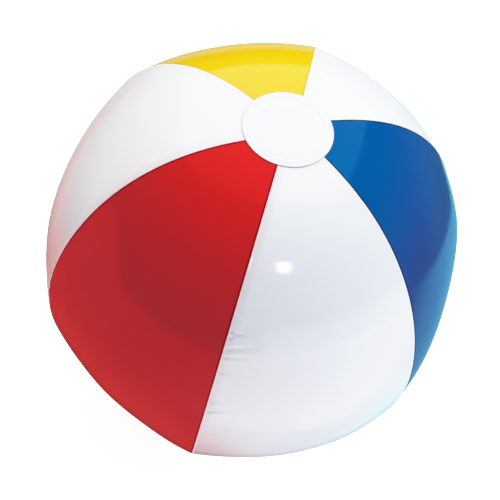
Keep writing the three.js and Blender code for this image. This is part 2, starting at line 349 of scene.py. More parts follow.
def middle_spread(name):
    """Where the columns between the edges stand, from -1 to 1 of the space between them."""
    if name != VALVE_PANEL:
        return np.linspace(-1, 1, MIDDLE_COLUMNS + 2)[1:-1]
    reach = np.pi / PANEL_COUNT * skin_radius(0, 0) - EDGE_COLUMNS[-1]
    near = HOLE_COLUMN_SPACING * np.arange(-HOLE_COLUMNS, HOLE_COLUMNS + 1) / reach
    outside = np.linspace(near[-1], 1, OUTER_COLUMNS + 2)[1:-1]
    return np.concatenate([-outside[::-1], near, outside])


def open_hole(places, arcs):
    """Draws the grid round the valve's hole into circles. Gives the new places and the cells left out."""
    rows, columns = places.shape
    middle_row, middle_column = (rows - 1) // 2, (columns - 1) // 2
    row_block = round(HOLE_BLOCK * HOLE_COLUMN_SPACING / ROW_SPACING)
    row, column = np.mgrid[0:rows, 0:columns]
    p = (column - middle_column) / HOLE_BLOCK
    q = (row - middle_row) / row_block
    ring = np.maximum(np.abs(p), np.abs(q))
    angle = np.arctan2(q, p)
    radius = HOLE_RADIUS + (ring - 1) * HOLE_BLOCK * HOLE_COLUMN_SPACING
    keep = smooth((ring - 1) / (HOLE_BLEND - 1))
    places[:] = np.where(ring < 1, places, keep * places + (1 - keep) * radius * np.cos(angle))
    arcs[:] = np.where(ring < 1, arcs, keep * arcs + (1 - keep) * radius * np.sin(angle))
    return ring < 1


def weld_relief(places, arcs):
    """The film stands a little proud where the valve's flange is welded behind it, with a pressed ring."""
    radius = np.hypot(places, arcs)
    plateau = FLANGE_RISE * (1 - smooth((radius - FLANGE_WELD_RADIUS) / FLANGE_RISE_WIDTH + 0.5))
    groove = ridge(radius, (HOLE_RADIUS + FLANGE_WELD_RADIUS) / 2, -GROOVE_DEPTH, GROOVE_WIDTH)
    return plateau + groove


# Where the film bulges more or less than the plain panel shape: latitude in degrees, place across the
# panel from -1 to 1, and how far it stands out, fading over BULGE_WIDTH.
BULGES = {
    "valve_panel": [(31, -0.4, 4.4), (38, 0.5, 2.2)],
    "blue_panel": [(18, 0.75, 4.0), (-8, -0.1, -3.2)],
    "left_white_panel": [(8, 0.5, 1.4)],
    "front_white_panel": [(-24, -0.1, 2.2), (-20, 0.7, 4.2)],
    "red_panel": [(-26, -0.7, -1.6), (-34, 0.4, -1.6)],
    "yellow_panel": [(26, 0, -1.6)],
}
BULGE_WIDTH = 38


def bulge_height(name, latitudes, across, widths):
    height = np.zeros(latitudes.shape)
    for latitude, place, amount in BULGES.get(name, []):
        up = arc_of(latitudes) - arc_of(math.radians(latitude))
        sideways = (across - place) * widths
        height += amount * np.exp(-(up**2 + sideways**2) / BULGE_WIDTH**2)
    return height * (1 - np.minimum(across**2, 1))


PAINTED_TOP_LATITUDES = (26, 72)  # latitudes between which a film's colour turns to its lighter colour near the top cap: painted light from above
PAINTED_SEAM_PINK = 0.35  # painted pink shade all along a white panel's weld to the red one, for the red panel's light through the film
PAINTED_SEAM_PINK_WIDTH = 9

# Painted shade: white panels beside the red one are painted a darker pink low on the ball, for the red
# panel's light through the film and the shade there. Which of their seams it is, the latitudes where the
# painted shade begins and where it is full, how far in from the seam it reaches, and how much.
PAINTED_RED_SHADE = {"left_white_panel": (1, 38, 8, 85, 0.85), "front_white_panel": (0, 5, -30, 50, 1.0)}


def painted_red_shade(name, seam_distances, latitudes):
    """How much painted pink shade a white panel gets beside the red one, and where its weld to the red is."""
    if name not in PAINTED_RED_SHADE:
        return np.zeros(latitudes.shape), np.zeros(latitudes.shape)
    side, start, full, reach, amount = PAINTED_RED_SHADE[name]
    low_on_ball = smooth((start - np.degrees(latitudes)) / (start - full))
    painted_shade_inside = amount * low_on_ball * smooth(1 - seam_distances[side] / reach)
    painted_pink_by_seam = PAINTED_SEAM_PINK * smooth(1 - seam_distances[side] / PAINTED_SEAM_PINK_WIDTH)
    return np.maximum(painted_shade_inside, painted_pink_by_seam), (seam_distances[side] < PAINTED_SEAM_PINK_WIDTH).astype(float)


def panel_sheet(panel, name, profile, generator):
    """Points of a panel's outer or inner face, which of them the valve's hole takes away, and the
    values at each point that the film's material uses."""
    rows = 2 * round(TABLE_ARCS[-1] / ROW_SPACING) + 1
    row_arcs = np.linspace(TABLE_ARCS[0], TABLE_ARCS[-1], rows)
    middle = middle_spread(name)
    row_latitudes = latitude_of(row_arcs)
    half_widths = panel_half_angle(panel, row_latitudes) * skin_radius(row_latitudes, 0)
    placed = [column_places(profile, width, middle) for width in half_widths]
    places = np.array([row[0] for row in placed])
    depths = np.array([row[1] for row in placed])
    arcs = np.repeat(row_arcs[:, None], places.shape[1], 1)
    removed = np.zeros(places.shape, bool)
    relief = 0
    if name == VALVE_PANEL:
        removed = open_hole(places, arcs)
        relief = weld_relief(places, arcs)

    latitudes = latitude_of(arcs)
    widths = panel_half_angle(panel, latitudes) * skin_radius(latitudes, 0)
    across = places / widths
    lift = relief - depths + bulge_height(name, latitudes, across, widths)
    seam_distances = (widths + places, widths - places)
    for side, distance in enumerate(seam_distances):
        lift = lift + pucker_height(name, side, arcs, distance, generator)
    points = skin_points(panel, latitudes, across) + lift[..., None] * skin_normals(panel, latitudes, across)
    # painted pink shade on white panels beside the red one
    painted_red_tint, red_weld = painted_red_shade(name, seam_distances, latitudes)
    values = {
        "seam_distance": np.minimum(*seam_distances) * MM,
        "painted_red_shade": painted_red_tint,
        "red_weld": red_weld,
        # painted light: the film is lighter towards the top cap
        "painted_top_light": smooth((np.degrees(latitudes) - PAINTED_TOP_LATITUDES[0]) / (PAINTED_TOP_LATITUDES[1] - PAINTED_TOP_LATITUDES[0])),
    }
    return points, removed, values


def panel_faces(removed):
    """Both faces of the shell, the strips that close it all round, and the rim of the valve's hole."""
    rows, columns = removed.shape
    sheet = rows * columns
    quads = np.concatenate([grid_faces(rows, columns), grid_faces(rows, columns, sheet, flip=True)])
    gone = np.tile(removed.ravel(), 2)
    quads = quads[~gone[quads].any(1)]
    number = np.arange(sheet).reshape(rows, columns)
    loops = [number[0, ::-1], number[-1], number[:, 0], number[::-1, -1]]
    if removed.any():
        loops.append(hole_loop(removed, number))
    strips = [bridge_faces(loop, loop + sheet) for loop in loops]
    return np.concatenate([quads, *strips])


def hole_loop(removed, number):
    """The points round the hole, from one corner of the left-out square back to it."""
    taken = np.argwhere(removed)
    (low_row, low_column), (high_row, high_column) = taken.min(0) - 1, taken.max(0) + 1
    bottom = number[low_row, low_column : high_column + 1]
    right = number[low_row : high_row + 1, high_column]
    top = number[high_row, low_column : high_column + 1][::-1]
    left = number[low_row : high_row + 1, low_column][::-1]
    return np.concatenate([bottom, right[1:], top[1:], left[1:]])


def add_panel(panel, material, slot):
    name = PANELS[panel]
    outer_edge, inner_edge = edge_profile(WHITE_BEAD if slot == "white_film" else COLOUR_BEAD)
    outer, removed, values = panel_sheet(
        panel, name, outer_edge, np.random.default_rng([PUCKER_SEED, panel])
    )
    inner, _, _ = panel_sheet(panel, name, inner_edge, np.random.default_rng([PUCKER_SEED, panel]))
    used = ~np.tile(removed.ravel(), 2)
    points = np.concatenate([outer.reshape(-1, 3), inner.reshape(-1, 3)])
    renumbered = np.cumsum(used) - 1
    faces = renumbered[panel_faces(removed)]
    piece = add_piece(f"{name}_film", points[used], faces, material, "ball", [name])
    for key, value in values.items():
        attribute = piece.data.attributes.new(key, "FLOAT", "POINT")
        attribute.data.foreach_set("value", np.tile(value.ravel(), 2)[used].astype(np.float32))


# ---------------------------------------------------------------- polar caps

CAP_THICKNESS = 0.3
CAP_LIFT = 0.4
FOOT_RADIUS = 20
WELD_RING_RADIUS = 31
CAP_RIM_ROUND = 0.15
CAP_SEGMENTS = 216
WELD_RING_HEIGHT = 0.30
WELD_RING_WIDTH = 0.75
TROUGH_RADIUS = WELD_RING_RADIUS - 2.2
TROUGH_DEPTH = 0.20
TROUGH_WIDTH = 0.9
SEAM_SHOWS_THROUGH = 0.16  # height of the six seams pressed through the top cap
SEAM_SHOWS_WIDTH = 1.6


def cap_height(radius):
    """Height of a cap's outer face above the ball's middle, before the weld ring is pressed."""
    latitude = latitude_at_radius(np.maximum(radius, FOOT_RADIUS))
    return skin_height(latitude) + CAP_LIFT + CAP_THICKNESS


def cap_relief(radius, azimuth):
    """The pressed weld ring, the trough beside it, and the six seams that show through from below."""
    ring = ridge(radius, WELD_RING_RADIUS, WELD_RING_HEIGHT, WELD_RING_WIDTH)
    trough = ridge(radius, TROUGH_RADIUS, -TROUGH_DEPTH, TROUGH_WIDTH)
    fade = smooth((radius - TIP_RADIUS) / 6) * smooth((CAP_RADIUS - radius) / 3)
    seams = 0
    for index in range(PANEL_COUNT):
        here = seam_azimuth(index, latitude_at_radius(radius))
        gap = (azimuth - here + math.pi) % (2 * math.pi) - math.pi
        seams = seams + ridge(gap * radius, 0, SEAM_SHOWS_THROUGH * fade, SEAM_SHOWS_WIDTH)
    return ring + trough + seams


def add_cap(name, upward, material):
    """A round cap. The bottom one has no relief, because the ball's weight presses it flat."""
    rim = CAP_RADIUS - CAP_RIM_ROUND
    outer_radii = np.concatenate([np.linspace(0.4, 26, 24), np.linspace(26.6, rim, 24)])
    azimuth = np.linspace(0, 2 * math.pi, CAP_SEGMENTS, endpoint=False)
    edge_height = cap_height(rim)
    reliefs = [cap_relief(radius, azimuth) if upward else 0 * azimuth for radius in outer_radii]
    rings = [(radius, cap_height(radius) + relief) for radius, relief in zip(outer_radii, reliefs)]
    rings.append((CAP_RADIUS, edge_height - CAP_RIM_ROUND))
    rings.append((CAP_RADIUS, edge_height - CAP_THICKNESS))
    for radius, relief in zip(outer_radii[::-1], reliefs[::-1]):
        rings.append((radius, cap_height(radius) - CAP_THICKNESS + np.minimum(relief, 0)))
    points = []
    for radius, height in rings:
        z = CENTRE_HEIGHT + (1 if upward else -1) * (height + 0 * azimuth)
        points.append(np.stack([radius * np.cos(azimuth), radius * np.sin(azimuth), z], -1))
    points = np.concatenate(points)
    faces = solid_faces(len(rings), CAP_SEGMENTS)
    if not upward:
        faces = [face[::-1] for face in faces]
    add_piece(f"{name}_disc", points, faces, material, "ball", [name])


# ---------------------------------------------------------------- valve

VALVE_SEGMENTS = 96
CORNER_STEPS = 4
STEM_LOW, STEM_HIGH = cad_box("valve_stem")
STOPPER_LOW, STOPPER_HIGH = cad_box("stopper")
WEB_LOW, WEB_HIGH = cad_box("valve_web")
TETHER_HIGH = cad_box("stopper_tether")[1]
FLAP_LOW, FLAP_HIGH = cad_box("check_flap")
CROWN = float(skin_radius(0, 0))  # the valve's heights are measured from here, outwards along +Y
STEM_TOP = STEM_HIGH[1] - CROWN
STEM_BOTTOM = STEM_LOW[1] - CROWN
LIP_RADIUS = STEM_HIGH[0]
LIP_HEIGHT = 1
STEM_RADIUS = 4.8
BORE_RADIUS = 3.2
STEM_CHAMFER = 0.3
STOPPER_RADIUS = STOPPER_HIGH[0]
STOPPER_THICKNESS = 1.5
STOPPER_TOP = STOPPER_HIGH[1] - CROWN
STOPPER_BASE = STOPPER_TOP - STOPPER_THICKNESS
PLUG_LENGTH = 5.5
PLUG_RADIUS = 2.95
PLUG_BEAD_PLACE = 3.6  # a bead round the plug, this far from its root
PLUG_BEAD_HEIGHT = 0.04
PLUG_BEAD_WIDTH = 0.5
DISH_DEPTH = 0.22  # the stopper's top is dished inside this radius
DISH_RADIUS = 3.4
HINGE_OFFSET = 8
TETHER_WIDTH = 2 * TETHER_HIGH[0]
TETHER_THICKNESS = 0.7
TETHER_BEND_RADIUS = 0.9
TETHER_FLATNESS = 5
TAB_WIDTH = 5
TAB_THICKNESS = 1
TAB_FLATNESS = 6
RIB_PLACES = (-7.0, -7.9, -8.8)
RIB_HEIGHT = 0.14
RIB_WIDTH = 0.28
WEB_THICKNESS = 0.8
WEB_BULGE = 1
WEB_STEPS = 28
WEB_RIPPLE = 0.06
WEB_INSET = 0.08  # keeps the rippled funnel inside the web's own thickness
VALVE_GAP = 0.3
FLANGE_THICKNESS = 0.6
FLANGE_TOP = WEB_HIGH[1] - CROWN
FLAP_RADIUS = FLAP_HIGH[0]


def rounded(profile, radius):
    """A closed [radius, height] outline with its corners rounded off."""
    corners = np.asarray(profile, float)
    made = []
    for before, corner, after in zip(np.roll(corners, 1, 0), corners, np.roll(corners, -1, 0)):
        back, ahead = before - corner, after - corner
        cut = min(radius, 0.45 * np.hypot(*back), 0.45 * np.hypot(*ahead))
        start = corner + back / np.hypot(*back) * cut
        end = corner + ahead / np.hypot(*ahead) * cut
        for t in np.linspace(0, 1, CORNER_STEPS + 1):
            made.append((1 - t) ** 2 * start + 2 * t * (1 - t) * corner + t**2 * end)
    return np.array(made)


def turned_points(profile):
    """Rings of points, from an outline turned about the valve's axis."""
    angle = np.linspace(0, 2 * math.pi, VALVE_SEGMENTS, endpoint=False)
    rings = []
    for radius, height in profile:
        x = radius * np.sin(angle)
        z = CENTRE_HEIGHT + radius * np.cos(angle)
        rings.append(np.stack([x, 0 * angle + CROWN + height, z], -1))
    return np.array(rings)


def turned_faces(rings, segments=VALVE_SEGMENTS, closed=True):
    number = np.arange(rings * segments).reshape(rings, segments)
    looped = np.concatenate([number, number[:, :1]], 1)
    pairs = [(i, (i + 1) % rings) for i in range(rings if closed else rings - 1)]
    return np.concatenate([bridge_faces(looped[a], looped[b]) for a, b in pairs])


def solid_faces(rings, segments=VALVE_SEGMENTS):
    """Faces of a solid made of rings of points, with its two ends closed."""
    sides = [list(face) for face in turned_faces(rings, segments, closed=False)]
    first = list(range(segments))
    last = list(range((rings - 1) * segments, rings * segments))
    return [*sides, first, last[::-1]]


def boxy(turn, flatness):
    """The point at an angle on a rounded square of half width 1, with flatter sides for more flatness."""
    across, up = math.cos(turn), math.sin(turn)
    scale = (abs(across) ** flatness + abs(up) ** flatness) ** (-1 / flatness)
    return across * scale, up * scale


def add_turned(name, profile, material, body, solid=False):
    """A ring or tube from a closed outline, or a solid from an open one that starts and ends beside the
    axis. It replaces the CAD node that has its body's name."""
    faces = solid_faces(len(profile)) if solid else turned_faces(len(profile))
    points = turned_points(profile).reshape(-1, 3)
    add_piece(name, points, faces, material, body, [body])


def flange_profile():
    middle = (HOLE_RADIUS + FLANGE_WELD_RADIUS) / 2
    bottom = FLANGE_TOP - FLANGE_THICKNESS
    return rounded(
        [
            (HOLE_RADIUS, bottom),
            (middle, bottom),
            (FLANGE_WELD_RADIUS, bottom),
            (FLANGE_WELD_RADIUS, FLANGE_TOP),
            (middle, FLANGE_TOP),
            (HOLE_RADIUS, FLANGE_TOP),
        ],
        0.2,
    )


def add_flange(material):
    """A flat ring, pressed to the curve of the film that it is welded to."""
    profile = flange_profile()
    rings = turned_points(profile)
    x, z = rings[..., 0], rings[..., 2] - CENTRE_HEIGHT
    latitude = np.arcsin(np.abs(z / HALF_HEIGHT) ** (1 / HEIGHT_POWER))
    azimuth = np.arcsin(x / skin_radius(latitude, 0))
    rings[..., 1] -= CROWN - skin_radius(latitude, azimuth / HALF_PANEL) * np.cos(azimuth)
    faces = turned_faces(len(profile))
    points = rings.reshape(-1, 3)
    add_piece("valve_flange_ring", points, faces, material, "ball", ["valve_flange"])


def bezier(points, t):
    a, b, c, d = (np.asarray(point, float) for point in points)
    return (1 - t) ** 3 * a + 3 * (1 - t) ** 2 * t * b + 3 * (1 - t) * t**2 * c + t**3 * d


def web_profile():
    half = WEB_THICKNESS / 2
    rim = (HOLE_RADIUS - VALVE_GAP - half, FLANGE_TOP - half)
    base = (STEM_RADIUS + VALVE_GAP + half, STEM_BOTTOM + 2 * half)
    curve = [rim, (rim[0] - WEB_BULGE, base[1] / 2), (base[0] + WEB_BULGE, base[1] / 2), base]
    inside, outside = [], []
    for t in np.linspace(0, 1, WEB_STEPS + 1):
        point = bezier(curve, t)
        ahead = bezier(curve, min(1, t + 1e-3)) - bezier(curve, max(0, t - 1e-3))
        tangent = ahead / np.hypot(*ahead)
        normal = np.array([tangent[1], -tangent[0]])
        ripple = WEB_RIPPLE * math.sin(t * 5 * math.pi) * math.sin(t * math.pi)
        inside.append(point + normal * (half - WEB_INSET + ripple))
        outside.append(point - normal * (half - WEB_INSET - ripple))
    return np.array(inside + outside[::-1])


def add_web(material):
    """The soft funnel, whose rim meets the flange and whose base meets the stem. It rides on no body."""
    profile = web_profile()
    piece = add_piece(
        "valve_web_funnel",
        turned_points(profile).reshape(-1, 3),
        turned_faces(len(profile)),
        material,
        replaces=["valve_web"],
    )
    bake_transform(piece)


def stem_profile():
    lip_base = STEM_TOP - LIP_HEIGHT
    return rounded(
        [
            (BORE_RADIUS, STEM_BOTTOM),
            (STEM_RADIUS, STEM_BOTTOM),
            (STEM_RADIUS, lip_base - STEM_CHAMFER),
            (LIP_RADIUS, lip_base),
            (LIP_RADIUS, STEM_TOP),
            (BORE_RADIUS + STEM_CHAMFER, STEM_TOP),
            (BORE_RADIUS, STEM_TOP - STEM_CHAMFER),
        ],
        0.22,
    )


def plug_radius(depth):
    """The plug narrows as an arc about the hinge line, so that its far side clears the bore."""
    reach = HINGE_OFFSET + BORE_RADIUS - 0.05
    return min(PLUG_RADIUS, math.sqrt(reach**2 - depth**2) - HINGE_OFFSET)


def add_stopper(material):
    nose = 0.4
    edge = 0.35
    profile = [(0.2, STOPPER_BASE - PLUG_LENGTH)]
    profile.append((plug_radius(PLUG_LENGTH) - nose, STOPPER_BASE - PLUG_LENGTH))
    for depth in np.linspace(PLUG_LENGTH - nose, 0.25, 10):
        bead = ridge(depth, PLUG_BEAD_PLACE, PLUG_BEAD_HEIGHT, PLUG_BEAD_WIDTH)
        profile.append((min(plug_radius(depth) + bead, BORE_RADIUS - 0.06), STOPPER_BASE - depth))
    profile.append((PLUG_RADIUS, STOPPER_BASE))
    profile.append((STOPPER_RADIUS - 0.15, STOPPER_BASE))
    for turn in np.linspace(0, math.pi / 2, 6):
        profile.append(
            (
                STOPPER_RADIUS - edge * (1 - math.cos(turn)),
                STOPPER_TOP - edge * (1 - math.sin(turn)),
            )
        )
    for radius in np.linspace(STOPPER_RADIUS - 0.7, 0.2, 14):
        dish = -DISH_DEPTH * (1 - smooth((radius - DISH_RADIUS) / 0.9))
        profile.append((radius, STOPPER_TOP + dish))
    add_turned("stopper_plug", profile, material, "stopper", solid=True)
    add_tab(material)


def add_tab(material):
    """Pull tab: a tongue with a round end and three grip ribs, on the side away from the hinge."""
    half = TAB_WIDTH / 2
    end = STOPPER_LOW[2] - CENTRE_HEIGHT
    round_centre = end + half
    root = -(STOPPER_RADIUS - 0.6)
    rows = []
    length_steps, width_steps = 36, 16
    top = STOPPER_TOP - (STOPPER_THICKNESS - TAB_THICKNESS) / 2
    for reach in np.linspace(root, end + 0.02, length_steps):
        past = max(0, round_centre - reach)
        width = math.sqrt(max(half**2 - past**2, 0.01))
        rib = sum(ridge(reach, rib_place, RIB_HEIGHT, RIB_WIDTH) for rib_place in RIB_PLACES)
        ring = []
        for turn in np.linspace(0, 2 * math.pi, 2 * width_steps, endpoint=False):
            sideways, upwards = boxy(turn, TAB_FLATNESS)
            lift = rib if upwards > 0 else 0
            x = width * sideways
            y = (TAB_THICKNESS / 2 - 0.02) * upwards + lift * smooth((width - abs(x)) / 0.6)
            ring.append((x, CROWN + top - TAB_THICKNESS / 2 + y, CENTRE_HEIGHT + reach))
        rows.append(ring)
    points = np.array(rows)
    faces = solid_faces(*points.shape[:2])
    add_piece("stopper_tab", points.reshape(-1, 3), faces, material, "stopper")


def add_tether(material):
    """The strap from the stem's lip over the hinge line to the stopper's rim."""
    half = TETHER_THICKNESS / 2
    bend_height = STOPPER_BASE
    start = LIP_RADIUS + VALVE_GAP
    finish = STOPPER_RADIUS + VALVE_GAP
    below, above = bend_height - TETHER_BEND_RADIUS, bend_height + TETHER_BEND_RADIUS
    line = [(start, below, -90), ((start + HINGE_OFFSET) / 2, below, -90)]
    for angle in np.linspace(-90, 90, 19):
        turn = math.radians(angle)
        reach = HINGE_OFFSET + TETHER_BEND_RADIUS * math.cos(turn)
        line.append((reach, bend_height + TETHER_BEND_RADIUS * math.sin(turn), angle))
    line += [((HINGE_OFFSET + finish) / 2, above, 90), (finish, above, 90)]
    points = []
    around = 24
    for reach, height, angle in line:
        outward = np.array([math.cos(math.radians(angle)), math.sin(math.radians(angle))])
        waist = 1 - 0.16 * math.cos(math.radians(angle)) ** 2
        for turn in np.linspace(0, 2 * math.pi, around, endpoint=False):
            sideways, upwards = boxy(turn, TETHER_FLATNESS)
            x = TETHER_WIDTH / 2 * waist * sideways
            offset = outward * (half - 0.01) * upwards
            points.append((x, CROWN + height + offset[1], CENTRE_HEIGHT + reach + offset[0]))
    faces = solid_faces(len(line), around)
    piece = add_piece(
        "stopper_tether_strap", points, faces, material, replaces=["stopper_tether"]
    )
    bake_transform(piece)


def add_flap(material):
    top, bottom = FLAP_HIGH[1] - CROWN, FLAP_LOW[1] - CROWN
    profile = [(0.2, bottom + 0.12)]
    for radius in np.linspace(0.6, FLAP_RADIUS - 0.15, 10):
        profile.append((radius, bottom + 0.12 * (1 - (radius / FLAP_RADIUS) ** 2)))
    profile += [(FLAP_RADIUS, bottom + 0.12), (FLAP_RADIUS, top - 0.12)]
    for radius in np.linspace(FLAP_RADIUS - 0.12, 0.2, 10):
        profile.append((radius, top))
    add_turned("check_flap_disc", profile, material, "check_flap", solid=True)


# ---------------------------------------------------------------- materials


def node(tree, kind, inputs=(), **settings):
    """A shader node. inputs gives a value, or another node's output, for each named or numbered socket."""
    made = tree.nodes.new(f"ShaderNode{kind}")
    for name, value in settings.items():
        setattr(made, name, value)
    for key, value in dict(inputs).items():
        socket = made.inputs[key]
        if isinstance(value, bpy.types.NodeSocket):
            tree.links.new(value, socket)
        else:
            socket.default_value = value
    return made


def noise(tree, place, scale, detail, roughness):
    inputs = {"Vector": place, "Scale": scale, "Detail": detail, "Roughness": roughness}
    return node(tree, "TexNoise", inputs).outputs["Fac"]


def remap(tree, value, from_low, from_high, to_low, to_high):
    """A smooth change from one output value to another, between two input values."""
    inputs = {
        "Value": value,
        "From Min": from_low,
        "From Max": from_high,
        "To Min": to_low,
        "To Max": to_high,
    }
    return node(tree, "MapRange", inputs, interpolation_type="SMOOTHSTEP").outputs["Result"]


def math_of(tree, operation, first, second=0.0):
    return node(tree, "Math", {0: first, 1: second}, operation=operation).outputs[0]


def mix_colours(tree, factor, first, second):
    """Blend of two colours. The colour sockets of a Mix node are its seventh and eighth."""
    inputs = {0: factor, 6: first, 7: second}
    return node(tree, "Mix", inputs, data_type="RGBA").outputs[2]


def new_material(name):
    material = bpy.data.materials.new(name)
    material.use_nodes = True
    tree = material.node_tree
    return material, tree, tree.nodes["Principled BSDF"]


WELD_EDGE = (0.9, 1.7)  # distances from the seam between which the weld's colour ends
FILM_IOR = 1.95  # higher than vinyl's own, since a clear film mirrors with both of its faces
RED_WELD = (1.0, 0.74, 0.79)  # a white film's edge where it is welded over the red one
PAINTED_RED_SHADE_COLOUR = (0.70, 0.57, 0.60)  # painted shade: the darker pink painted on white film beside the red panel


def film_material(name, base, thin, painted_top_colour, weld, gloss_tint=(1, 1, 1)):
    """Glossy vinyl film: base colour, its lighter colour where the pigment is thin, its lighter colour near
    the top cap, which is painted light from above, the colour of the doubled film along a weld, and the tint
    of what it mirrors."""
    material, tree, shader = new_material(name)
    place = node(tree, "TexCoord").outputs["Object"]
    clouds = noise(tree, place, 22, 3, 0.55)
    specks = noise(tree, place, 900, 2, 0.6)
    mottling = math_of(tree, "MULTIPLY_ADD", specks, 0.25)
    tree.links.new(remap(tree, clouds, 0.3, 0.7, 0.0, 0.75), mottling.node.inputs[2])
    mottled = mix_colours(tree, mottling, (*base, 1), (*thin, 1))
    # Painted light: the film's colour turns lighter towards the top cap.
    painted_top_light = node(tree, "Attribute", attribute_name="painted_top_light").outputs["Fac"]
    pigment = mix_colours(tree, painted_top_light, mottled, (*painted_top_colour, 1))

    distance = node(tree, "Attribute", attribute_name="seam_distance").outputs["Fac"]
    near_seam = remap(tree, distance, WELD_EDGE[0] * MM, WELD_EDGE[1] * MM, 1.0, 0.0)
    # Painted shade: white film beside the red panel is darkened towards pink, low on the ball and along the
    # weld.
    painted_red_tint = node(tree, "Attribute", attribute_name="painted_red_shade").outputs["Fac"]
    shaded = mix_colours(tree, painted_red_tint, pigment, (*PAINTED_RED_SHADE_COLOUR, 1))
    by_red = node(tree, "Attribute", attribute_name="red_weld").outputs["Fac"]
    weld_colour = mix_colours(tree, by_red, (*weld, 1), (*RED_WELD, 1))
    colour = mix_colours(tree, near_seam, shaded, weld_colour)
    tree.links.new(colour, shader.inputs["Base Color"])

    haze = noise(tree, place, 60, 4, 0.6)
    gloss = remap(tree, haze, 0.3, 0.75, 0.08, 0.13)
    roughness = math_of(tree, "MULTIPLY_ADD", near_seam, 0.12)
    tree.links.new(gloss, roughness.node.inputs[2])
    tree.links.new(roughness, shader.inputs["Roughness"])

    swell = noise(tree, place, 14, 2, 0.4)
    peel = noise(tree, place, 330, 2, 0.5)
    swells = node(tree, "Bump", {"Height": swell, "Strength": 0.10, "Distance": 0.002})
    surface = node(
        tree, "Bump", {"Height": peel, "Strength": 0.10, "Distance": 0.0001, "Normal": swells.outputs[0]}
    )
    tree.links.new(surface.outputs[0], shader.inputs["Normal"])
    shader.inputs["IOR"].default_value = FILM_IOR
    shader.inputs["Specular Tint"].default_value = (*gloss_tint, 1)
    return material


def cap_material():
    material, tree, shader = new_material("cap_film")
    place = node(tree, "TexCoord").outputs["Object"]
    clouds = remap(tree, noise(tree, place, 40, 3, 0.5), 0.3, 0.7, 0.0, 1.0)
    film = mix_colours(tree, clouds, (0.91, 0.925, 0.94, 1), (0.93, 0.94, 0.95, 1))
    flat_place = node(tree, "VectorMath", {0: place, 1: (1, 1, 0)}, operation="MULTIPLY").outputs[0]
    radius = node(tree, "VectorMath", {0: flat_place}, operation="LENGTH").outputs["Value"]
    # Painted shade: a grey line round the cap's edge, where it stands over the panels.
    rim = remap(tree, radius, (CAP_RADIUS - 1.0) * MM, (CAP_RADIUS - 0.4) * MM, 0.0, 1.0)
    colour = mix_colours(tree, rim, film, (0.74, 0.77, 0.78, 1))
    tree.links.new(colour, shader.inputs["Base Color"])
    grain = noise(tree, place, 1400, 2, 0.6)
    tree.links.new(remap(tree, grain, 0.3, 0.7, 0.11, 0.17), shader.inputs["Roughness"])
    peel = noise(tree, place, 260, 2, 0.5)
    surface = node(tree, "Bump", {"Height": peel, "Strength": 0.15, "Distance": 0.0002})
    tree.links.new(surface.outputs[0], shader.inputs["Normal"])
    shader.inputs["IOR"].default_value = FILM_IOR
    return material


def valve_material():
    material, tree, shader = new_material("valve_vinyl")
    place = node(tree, "TexCoord").outputs["Object"]
    clouds = remap(tree, noise(tree, place, 300, 3, 0.5), 0.3, 0.7, 0.0, 1.0)
    colour = mix_colours(tree, clouds, (0.56, 0.61, 0.65, 1), (0.63, 0.67, 0.70, 1))
    tree.links.new(colour, shader.inputs["Base Color"])
    grain = noise(tree, place, 3000, 2, 0.6)
    tree.links.new(remap(tree, grain, 0.3, 0.7, 0.28, 0.42), shader.inputs["Roughness"])
    surface = node(tree, "Bump", {"Height": grain, "Strength": 0.2, "Distance": 0.00005})
    tree.links.new(surface.outputs[0], shader.inputs["Normal"])
    shader.inputs["Subsurface Weight"].default_value = 0.35
    shader.inputs["Subsurface Radius"].default_value = (0.004, 0.004, 0.004)
    shader.inputs["Subsurface Scale"].default_value = 0.5
    return material


# ---------------------------------------------------------------- studio: floor, light and camera

BACKDROP = (1.6, 1.6, 1.6)
FLOOR_RADIUS = 1.3
FLOOR_GLOW = 1.1  # the paper floor glows a little, so that it is as white as the backdrop

KEY_LIGHT_AZIMUTH = -24.3
KEY_LIGHT_ELEVATION = 43.8
KEY_LIGHT_DISTANCE = 2.0
KEY_LIGHT_SIZE = (0.12, 0.20)
KEY_LIGHT_RADIANCE = 13

# Soft lights round the ball, as azimuth, elevation and width in degrees, and colour.
WALLS = [
    (168, 32, 60, (1.97, 1.96, 1.97)),  # white wall on the left
    (60, 45, 60, (2.03, 2.03, 2.03)),  # white wall at the back
    (-115, -34, 55, (1.20, 1.05, 0.99)),  # warm card, low on the left
]
FLOOR_LIGHTS = [(-10, -30, 75, 2.09), (90, -30, 75, 0.81)]  # with a level in place of the colour
OVERHEAD_LIGHT = (0.38, 0.38, 0.38)


def direction(azimuth, elevation):
    """Unit vector from the ball, in degrees: azimuth from +X towards +Y."""
    a, e = math.radians(azimuth), math.radians(elevation)
    return Vector((math.cos(a) * math.cos(e), math.sin(a) * math.cos(e), math.sin(e)))


def centre():
    return Vector((0, 0, CENTRE_HEIGHT * MM))


def add_key_light():
    """A rectangular light that faces the ball, whose film mirrors it as one bright spot."""
    width, height = KEY_LIGHT_SIZE
    light = bpy.data.lights.new("key_light", "AREA")
    light.shape = "RECTANGLE"
    light.size = width
    light.size_y = height
    light.energy = KEY_LIGHT_RADIANCE * math.pi * width * height
    toward = direction(KEY_LIGHT_AZIMUTH, KEY_LIGHT_ELEVATION)
    box = bpy.data.objects.new("key_light", light)
    box.location = centre() + toward * KEY_LIGHT_DISTANCE
    box.rotation_euler = toward.to_track_quat("Z", "Y").to_euler()
    box.visible_camera = False
    bpy.context.scene.collection.objects.link(box)


